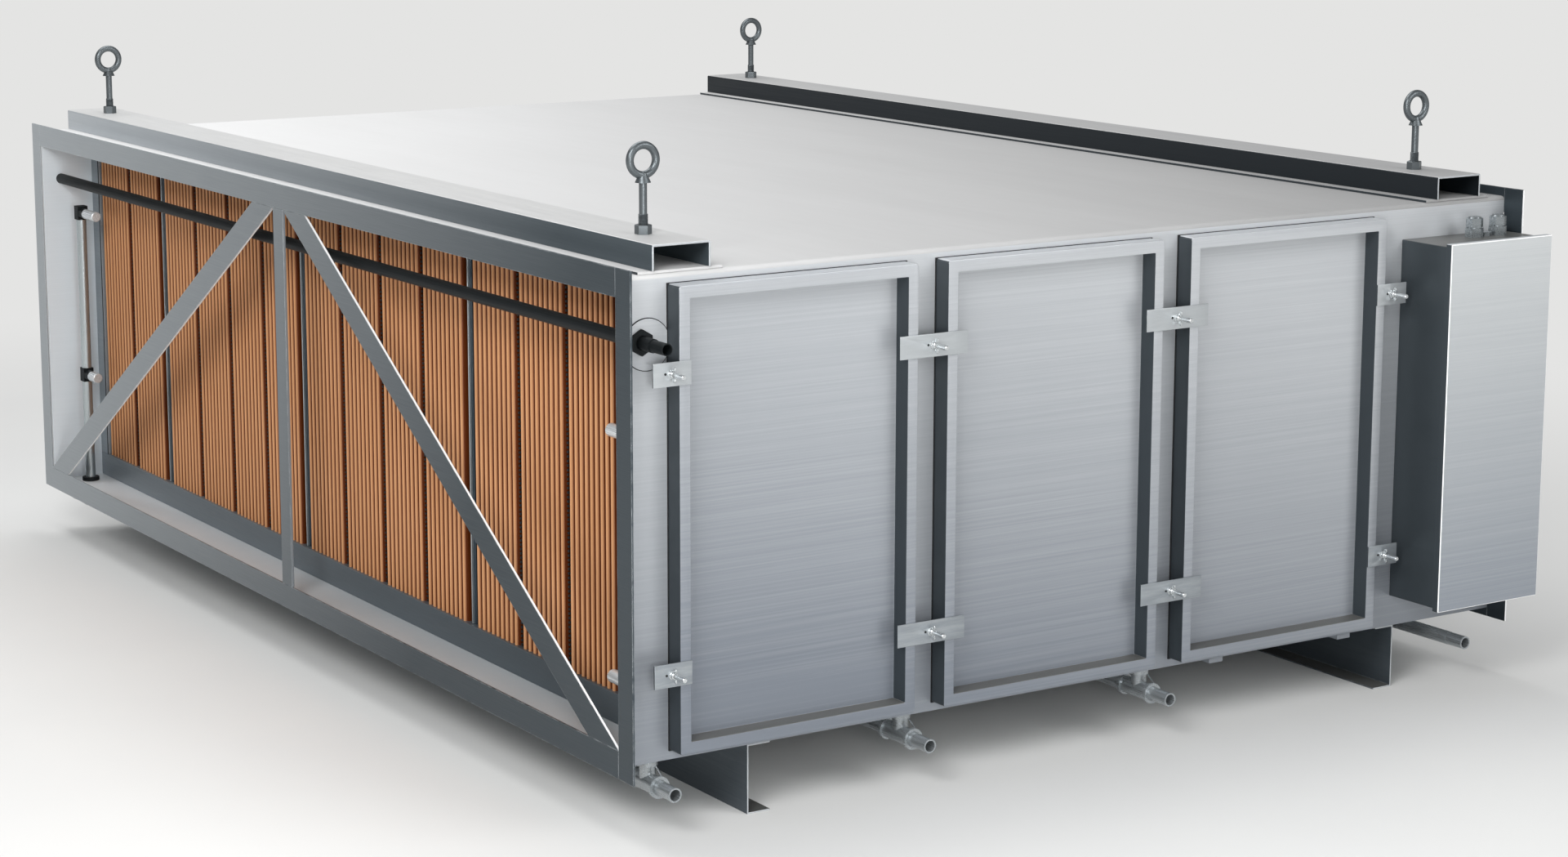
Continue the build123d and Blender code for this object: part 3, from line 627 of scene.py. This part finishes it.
# Second finishes by which way a face looks: painted highlights, painted light and painted shade.
SIDES = {
    "far_wall": [(inner_painted_light, looks_outward)],
    "control_box": [(box_painted_shade, looks_along("y")), (painted_shade_ledge, looks_along("z"))],
    "control_box_lid": [(box_painted_shade, looks_along("y")), (painted_light_shade_grey, looks_along("z")),
                        (painted_highlight_edge, lies_on_rim_bend)],
    "lifting_channels": [(channel_painted_shade, looks_along("y")), (painted_light_shade_grey, looks_along("x"))],
    "roof_strips": [(painted_shade_side, looks_along("y"))],
    "rear_flange_stiles": [(painted_highlight_edge, looks_along("x"))],
    "braces": [(painted_highlight_edge, looks_aside)],
    "centre_post": [(post_painted_light, looks_aside)],
    "cross_legs": [(painted_light_shade_grey, looks_along("x")), (painted_shade_ledge, looks_up_below(LEG_FOOT))],
}
for name, width in ROUNDED.items():
    form = plain_copy(name)
    soften(form, crisp_edges(form), width * MM, 2)
    piece = make(name + "_edged", form, SLOT_OF[name], replaced=[name], material=WHOLE.get(name),
                 smooth=False)
    for material, belongs in SIDES.get(name, []):
        second_finish(piece, material, belongs)
    print(piece.name, len(piece.data.polygons))

# %% [markdown]
# ## Tray doors
# A tray door is one pressed sheet: a flat skin close to the wall inside a deep rim. Every
# bend has a small radius, inside and out. The back is cut a few millimetres short, and a black
# rubber seal lies there that shows as a black line all round the door: painted shadow for the
# shadow gap between tray and wall.

# %% Doors and their seals
SEAL = 3.5 * MM
SEAL_SHOWS = 0.8 * MM
DOOR_BEND = 1.3 * MM
wall_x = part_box("service_wall")[1].x
for number in (1, 2, 3):
    name = f"door_{number}"
    lo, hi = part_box(name)
    form = plain_copy(name)
    soften(form, crisp_edges(form, SQUARE_FROM), DOOR_BEND, 3)
    cut = bmesh.ops.bisect_plane(form, geom=everything(form), plane_co=(wall_x + SEAL, 0, 0),
                                 plane_no=(1, 0, 0), clear_inner=True)
    rim = [g for g in cut["geom_cut"] if isinstance(g, bmesh.types.BMEdge)]
    bmesh.ops.contextual_create(form, geom=rim)
    tray = make(name + "_pressed", form, "door_sheet", replaced=[name])
    # Painted shade on the tray's sides that face along the wall.
    second_finish(tray, painted_shade_side, looks_along("y"))
    # Painted shade on the upward faces in the lower half of the well.
    second_finish(tray, painted_shade_ledge, looks_up_below((lo.z + hi.z) / 2))
    # The black seal is painted shadow: it stands for the shadow gap between tray and wall.
    seal = bmesh.new()
    plate(seal, wall_x, wall_x + SEAL, lo.y - SEAL_SHOWS, hi.y + SEAL_SHOWS,
          lo.z - SEAL_SHOWS, hi.z + SEAL_SHOWS)
    make(name + "_seal", seal, "door_sheet", material=rubber_and_painted_shadow, smooth=False)
print("three doors on the wall at", round(wall_x, 4))

# %% [markdown]
# ## Clamps
# Each clamp is a zinc plate over the door rims, drawn down by a wing nut on a threaded
# stud. The plates sit beside the first and the last door and between two doors, in an
# upper and a lower row.

# %% Clamp plates
PLATE_BURR = 0.5 * MM
CLAMP_STUD_OUT = 17.0 * MM
CLAMP_HALF = 21.5 * MM

form = plain_copy("clamp_plates")
soften(form, crisp_edges(form, SQUARE_FROM), PLATE_BURR, 2)
plates = make("clamp_plates_edged", form, "clamp_zinc", replaced=["clamp_plates"])
# Painted shade on the plate sides that face along the wall.
second_finish(plates, painted_shade_side, looks_along("y"))

plates_lo, plates_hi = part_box("clamp_plates")
doors = [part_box(f"door_{n}") for n in (1, 2, 3)]
clamp_y = [doors[0][0].y - CLAMP_STUD_OUT]
clamp_y += [(a[1].y + b[0].y) / 2 for a, b in zip(doors, doors[1:])]
clamp_y.append(doors[2][1].y + CLAMP_STUD_OUT)
clamp_z = [plates_lo.z + CLAMP_HALF, plates_hi.z - CLAMP_HALF]
clamps = [(y, z) for y in clamp_y for z in clamp_z]
print(len(clamps), "clamps at y", [round(y, 3) for y in clamp_y])

# %% [markdown]
# ## Wing nuts
# Stud and nut are turned from one profile: the plain stud through the plate, the nut with a
# thin flange, a few thread rings and the chamfered tip. The two wings are rounded ears that
# lean outwards. Sizes are in millimetres.

# %% Wing nuts
STUD_R, STUD_TIP_R, STUD_CHAMFER = 4.6, 3.6, 1.2
THREAD_CORE_R, THREAD_LENGTH, THREAD_PITCH = 4.2, 6.0, 1.5
NUT_FLANGE_R, NUT_FLANGE = 8.6, 1.6
NUT_FOOT_R, NUT_FOOT = 7.2, 1.8
NUT_HEAD_R, NUT_HEAD = 6.8, 7.5
NUT_TOP_R, NUT_TOP = 5.6, 9.0
WING_SIZE = (4.2, 5.5, 2.8)
WING_LEAN = -28
WING_UP, WING_OUT = 7.5, 9.0
WING_EDGE = 0.8

seat = plates_hi.x
base = (seat - wall_x) / MM
tip = (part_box("clamp_studs")[1].x - wall_x) / MM
thread_end = base + NUT_TOP + THREAD_LENGTH
nut_profile = [
    (0, 0), (STUD_R, 0), (STUD_R, base),
    (NUT_FLANGE_R, base), (NUT_FLANGE_R, base + NUT_FLANGE), (NUT_FOOT_R, base + NUT_FOOT),
    (NUT_HEAD_R, base + NUT_HEAD), (NUT_TOP_R, base + NUT_TOP),
    *thread_profile(THREAD_CORE_R, STUD_R, base + NUT_TOP, thread_end, THREAD_PITCH),
    (STUD_R, thread_end), (STUD_R, tip - STUD_CHAMFER), (STUD_TIP_R, tip), (0, tip),
]


def wing(y, z, side):
    ear = bmesh.new()
    bmesh.ops.create_cone(ear, cap_ends=True, segments=20, radius1=1.0, radius2=1.0, depth=1.0)
    size = Matrix.Diagonal((*[s * MM for s in WING_SIZE], 1.0))
    lean = Matrix.Rotation(side * radians(WING_LEAN), 4, "Z")
    upright = Matrix.Rotation(pi / 2, 4, "X")
    place = Matrix.Translation((seat + WING_UP * MM, y, z + side * WING_OUT * MM))
    bmesh.ops.transform(ear, matrix=place @ upright @ lean @ size, verts=ear.verts)
    soften(ear, crisp_edges(ear, SQUARE_FROM), WING_EDGE * MM, 2)
    return ear


form = bmesh.new()
for y, z in clamps:
    turned(form, nut_profile, (wall_x, y, z), "X", 20)
    for side in (-1, 1):
        add(form, wing(y, z, side))
nuts = make("clamp_wing_nuts", form, "clamp_zinc", replaced=["clamp_studs"], material=bright_stud)
print("wing nuts", len(nuts.data.polygons), "faces")

# %% [markdown]
# ## Keyholes
# A small dark keyhole beside each nut lets the plate be slipped off without taking the nut
# away. It is a thin black disc on the plate, painted shade where the hole is.

# %% Keyholes
KEYHOLE_R, KEYHOLE_THICK = 2.4, 0.3
KEYHOLE_OUT = 13.0 * MM
KEYHOLE_UP = 1.0 * MM
form = bmesh.new()
for y, z in clamps:
    turned(form, [(0, 0), (KEYHOLE_R, 0), (KEYHOLE_R, KEYHOLE_THICK), (0, KEYHOLE_THICK)],
           (seat, y - KEYHOLE_OUT, z + KEYHOLE_UP), "X", 16)
make("clamp_keyholes", form, "clamp_zinc", material=rubber_and_painted_shadow)
print(len(clamps), "keyholes")

# %% [markdown]
# ## Eye bolts
# The bolt goes from the nut up to the forged ring: thread rings above the nut, a plain
# shank, a coned collar, and a neck that swells into the ring. Only the thread and the neck
# are new; the ring, nut and shank are the solid's own. Sizes are in millimetres.

# %% Eye bolt threads and necks
THREAD_FROM, THREAD_TO = 17.4, 35.4
THREAD_ROOT_R, THREAD_CREST_R, SUNK_R = 8.02, 9.0, 7.6
EYE_PITCH = 2.0
NECK_FROM, NECK_TO = 104.9, 111.8

thread = [(SUNK_R, THREAD_FROM),
          *thread_profile(THREAD_ROOT_R, THREAD_CREST_R, THREAD_FROM, THREAD_TO, EYE_PITCH),
          (SUNK_R, THREAD_TO)]
neck = [(0, NECK_FROM), (8.45, NECK_FROM), (8.2, 106.5), (7.6, 108.5), (6.4, 110.5),
        (4.2, NECK_TO), (0, NECK_TO)]
for number in (1, 2, 3, 4):
    lo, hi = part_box(f"eye_bolt_{number}")
    foot = Vector(((lo.x + hi.x) / 2, (lo.y + hi.y) / 2, lo.z))
    form = bmesh.new()
    for profile in (thread, neck):
        turned(form, profile, foot, "Z", 28)
    make(f"eye_thread_{number}", form, "eye_steel")
print("eye bolts stand", round(hi.z - lo.z, 4), "m high")

# %% [markdown]
# ## Coil face
# The fluted panels hang in banks on a dark core. Between two panels of a bank runs a thin
# comb of fin ends, here one tooth that is repeated over the height of the core.

# %% Combs in the seams
PANEL_GAP = 17.0 * MM
PANELS = {"coil_bank_1": 2, "coil_bank_2": 4, "coil_bank_3": 4, "coil_bank_4": 4}
TEETH = 88
TOOTH_FROM, TOOTH_TO = 0.2, 0.7
COMB_LEFT, COMB_RIGHT = 3.5 * MM, 1.5 * MM
COMB_DEPTH = 25 * MM

core_lo, core_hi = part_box("coil_core")
tooth_step = (core_hi.z - core_lo.z) / TEETH
form = bmesh.new()
for bank, count in PANELS.items():
    lo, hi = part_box(bank)
    width = (hi.x - lo.x - (count - 1) * PANEL_GAP) / count
    for index in range(1, count):
        x = lo.x + index * (width + PANEL_GAP) - PANEL_GAP / 2
        row = bmesh.new()
        plate(row, x - COMB_LEFT, x + COMB_RIGHT, core_lo.y - COMB_DEPTH, core_lo.y,
              core_lo.z + TOOTH_FROM * tooth_step, core_lo.z + TOOTH_TO * tooth_step)
        bmesh.ops.spin(row, geom=everything(row), cent=(0, 0, 0), axis=(0, 0, 1), angle=0.0,
                       dvec=(0, 0, tooth_step), steps=TEETH - 1, use_duplicate=True)
        add(form, row)
combs = make("coil_seam_combs", form, "coil_core_dark", material=rubber_and_painted_shadow, smooth=False)
print("combs", len(combs.data.polygons), "faces")

# %% [markdown]
# ## Dividers
# Between two banks stands a divider with a bright folded lip along its front.

# %% Divider lips
LIP_LEFT, LIP_RIGHT = 2.0 * MM, 1.0 * MM
LIP_STANDS = 5 * MM
LIP_SHORT = 1 * MM
THIN_EDGE = 0.4 * MM

divider_lo, divider_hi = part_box("coil_dividers")
banks = [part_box(name) for name in PANELS]
form = bmesh.new()
for a, b in zip(banks, banks[1:]):
    x = (a[1].x + b[0].x) / 2
    plate(form, x - LIP_LEFT, x + LIP_RIGHT, divider_lo.y - LIP_STANDS, divider_lo.y,
          divider_lo.z + LIP_SHORT, divider_hi.z - LIP_SHORT, THIN_EDGE)
make("coil_divider_lips", form, "pipe_steel", smooth=False)
print(len(banks) - 1, "divider lips")

# %% [markdown]
# ## Seals beside the coil
# A thin black seal closes the joint between the coil and each jamb.

# %% Coil seals
COIL_SEAL_WIDE = 4.0 * MM
COIL_SEAL_STANDS = 1.2 * MM

jamb_lo, jamb_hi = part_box("coil_jambs")
form = bmesh.new()
for edge, side in ((core_lo.x, -1), (core_hi.x, 1)):
    x0, x1 = sorted((edge, edge + side * COIL_SEAL_WIDE))
    plate(form, x0, x1, jamb_lo.y - COIL_SEAL_STANDS, jamb_lo.y, jamb_lo.z, jamb_hi.z, THIN_EDGE)
make("coil_edge_seals", form, "coil_core_dark", material=rubber_and_painted_shadow, smooth=False)
print("coil seals from", round(jamb_lo.z, 3), "to", round(jamb_hi.z, 3))

# %% [markdown]
# ## Rim of the cover plate
# The round cover plate of the header pipe has a dark seal under its rim, cut off where it
# would meet the first door. Its outline, in millimetres, is turned round the pipe's axis.

# %% Rim of the cover plate
RIM_CLEAR, RIM_WIDE, RIM_TOP_WIDE = 0.02, 1.4, 0.6
RIM_SHOULDER, RIM_THICK = 1.6, 2.4

cover_lo, cover_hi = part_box("pipe_rosette")
cover_r = (cover_hi.z - cover_lo.z) / 2
middle = (cover_lo.x, cover_lo.y + cover_r, (cover_lo.z + cover_hi.z) / 2)
r = cover_r / MM
rim_profile = [
    (r + RIM_CLEAR, 0), (r + RIM_WIDE, 0), (r + RIM_WIDE, RIM_SHOULDER),
    (r + RIM_TOP_WIDE, RIM_THICK), (r + RIM_CLEAR, RIM_THICK), (r + RIM_CLEAR, 0),
]
form = bmesh.new()
turned(form, rim_profile, middle, "X", 64)
bmesh.ops.bisect_plane(form, geom=everything(form), plane_co=(0, cover_hi.y, 0),
                       plane_no=(0, 1, 0), clear_outer=True)
bmesh.ops.holes_fill(form, edges=form.edges)
make("cover_plate_rim", form, "casing_sheet", material=rubber_and_painted_shadow)
print("cover plate radius", round(r, 1), "mm")

# %% [markdown]
# ## Drain tie rods
# A slanted tie rod runs from the ferrule under the floor to the outer collar of each tee.
# Four drain pipes cross under the floor with a tee near each end; the last pipe's near tee
# stands further in, beneath the control box.

# %% Tie rods
FIRST_DRAIN_IN = 72 * MM
DRAIN_BEFORE_CLAMP = 22 * MM
LAST_DRAIN_IN = 141 * MM
TEE_INSET = 21.0 * MM
TEE_INBOARD = 300.0 * MM
ROD_R = 1.6 * MM
ROD_TOP = (15 * MM, 8 * MM, -8 * MM)
ROD_FOOT = (40 * MM, 6 * MM, 19 * MM)

front_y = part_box("front_flange_stiles")[0].y
rear_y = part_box("rear_flange_stiles")[1].y
drain_y = [front_y + FIRST_DRAIN_IN, clamp_y[1] - DRAIN_BEFORE_CLAMP,
           clamp_y[2] - DRAIN_BEFORE_CLAMP, rear_y - LAST_DRAIN_IN]
drain_lo, drain_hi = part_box("drain_pipes")
drain_z = (drain_lo.z + drain_hi.z) / 2
tee_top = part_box("drain_tees")[1].z
tees = [(side * (wall_x - TEE_INSET), y, side) for y in drain_y for side in (-1, 1)]
x, y, side = tees.pop()
tees.append((x - TEE_INBOARD, y, side))


def rod_end(tee, height, offset):
    x, y, side = tee
    return Vector((x + side * offset[0], y + offset[1], height + offset[2]))


form = bmesh.new()
for tee in tees:
    top = rod_end(tee, tee_top, ROD_TOP)
    foot = rod_end(tee, drain_z, ROD_FOOT)
    rod = bmesh.new()
    bmesh.ops.create_cone(rod, cap_ends=True, segments=12, radius1=ROD_R, radius2=ROD_R,
                          depth=(foot - top).length)
    tilt = (foot - top).to_track_quat("Z", "Y").to_matrix().to_4x4()
    bmesh.ops.transform(rod, matrix=Matrix.Translation((top + foot) / 2) @ tilt, verts=rod.verts)
    add(form, rod)
make("drain_tie_rods", form, "drain_steel", material=bright_stud)
print("drains at y", [round(y, 3) for y in drain_y])

# %% [markdown]
# ## Floor
# The floor is pale and a little speckled. Further out than a few metres the camera and the
# reflections see an even pale tone instead of the lit floor, and the change is gradual, so
# the picture has no horizon.

# %% Floor
FLOOR_SIZE = 60
FADE_FROM, FADE_TO = 2.0, 4.8


def floor_material():
    material = bpy.data.materials.new("pale_floor")
    material.use_nodes = True
    tree = material.node_tree
    shader = tree.nodes["Principled BSDF"]
    shader.inputs["Roughness"].default_value = 0.8
    where = object_place(tree, (-900, 0))
    speck = noise(tree, (-700, 0), where, scale=2.0, detail=3.0)
    colour = blend_colour(tree, (-450, 0), speck, tone("#E2E2E0"), tone("#DDDDDC"))
    tree.links.new(colour, shader.inputs["Base Color"])
    distance = node(tree, "ShaderNodeVectorMath", (-700, -300), {0: where}, operation="LENGTH")
    away = node(tree, "ShaderNodeMapRange", (-450, -300),
                {"Value": distance.outputs["Value"], "From Min": FADE_FROM, "From Max": FADE_TO},
                interpolation_type="SMOOTHSTEP")
    rays = node(tree, "ShaderNodeLightPath", (-700, -500)).outputs
    seen = node(tree, "ShaderNodeMath", (-450, -500),
                {0: rays["Is Camera Ray"], 1: rays["Is Glossy Ray"]}, operation="MAXIMUM")
    far_seen = node(tree, "ShaderNodeMath", (-250, -400),
                    {0: away.outputs["Result"], 1: seen.outputs["Value"]}, operation="MULTIPLY")
    pale = node(tree, "ShaderNodeEmission", (-250, -550),
                {"Color": tone("#E4E4E3"), "Strength": 1.0})
    mixed = node(tree, "ShaderNodeMixShader", (300, -100),
                 {"Fac": far_seen.outputs["Value"], 1: shader.outputs["BSDF"],
                  2: pale.outputs["Emission"]})
    tree.links.new(mixed.outputs["Shader"], tree.nodes["Material Output"].inputs["Surface"])
    return material


bpy.ops.mesh.primitive_plane_add(size=FLOOR_SIZE, location=(0, 0, 0))
floor = bpy.context.object
floor.name = "floor"
floor.data.materials.append(floor_material())
print("floor fades from", FADE_FROM, "to", FADE_TO, "m")

# %% [markdown]
# ## Lamps
# A large soft lamp hangs over the unit, another stands beside the service side, and the key
# lamp shines from the near corner on both sides that the picture shows. A small low one
# lights the recess before the coil. A weak even sky fills the shadows.

# %% Lamps and world
# Each lamp has its place, the point that it looks at, its two widths and its power.
LAMPS = {
    "overhead": ((-1.8, 0.2, 5.5), (-0.2, 0.6, 0.5), (5.0, 5.0), 230.0),
    "service_side": ((6.0, 3.0, 3.6), (1.4, 0.8, 0.5), (4.0, 3.0), 140.0),
    "key": ((4.2, -4.0, 4.0), (0.0, 0.0, 0.6), (2.6, 2.6), 262.0),
    "recess": ((4.5, -1.3, 1.0), (-1.4, -0.2, 0.6), (0.9, 0.9), 45.0),
}
for name, (place, target, size, power) in LAMPS.items():
    lamp = bpy.data.lights.new(name, "AREA")
    lamp.shape = "RECTANGLE"
    lamp.size, lamp.size_y = size
    lamp.energy = power
    stand = bpy.data.objects.new(name, lamp)
    stand.location = place
    stand.rotation_euler = (Vector(target) - Vector(place)).to_track_quat("-Z", "Y").to_euler()
    bpy.context.scene.collection.objects.link(stand)

world = bpy.data.worlds.new("studio")
world.use_nodes = True
sky = world.node_tree.nodes["Background"].inputs
sky["Color"].default_value = tone("#E4E6E8")
sky["Strength"].default_value = 0.35
bpy.context.scene.world = world
print("lamps", list(LAMPS))
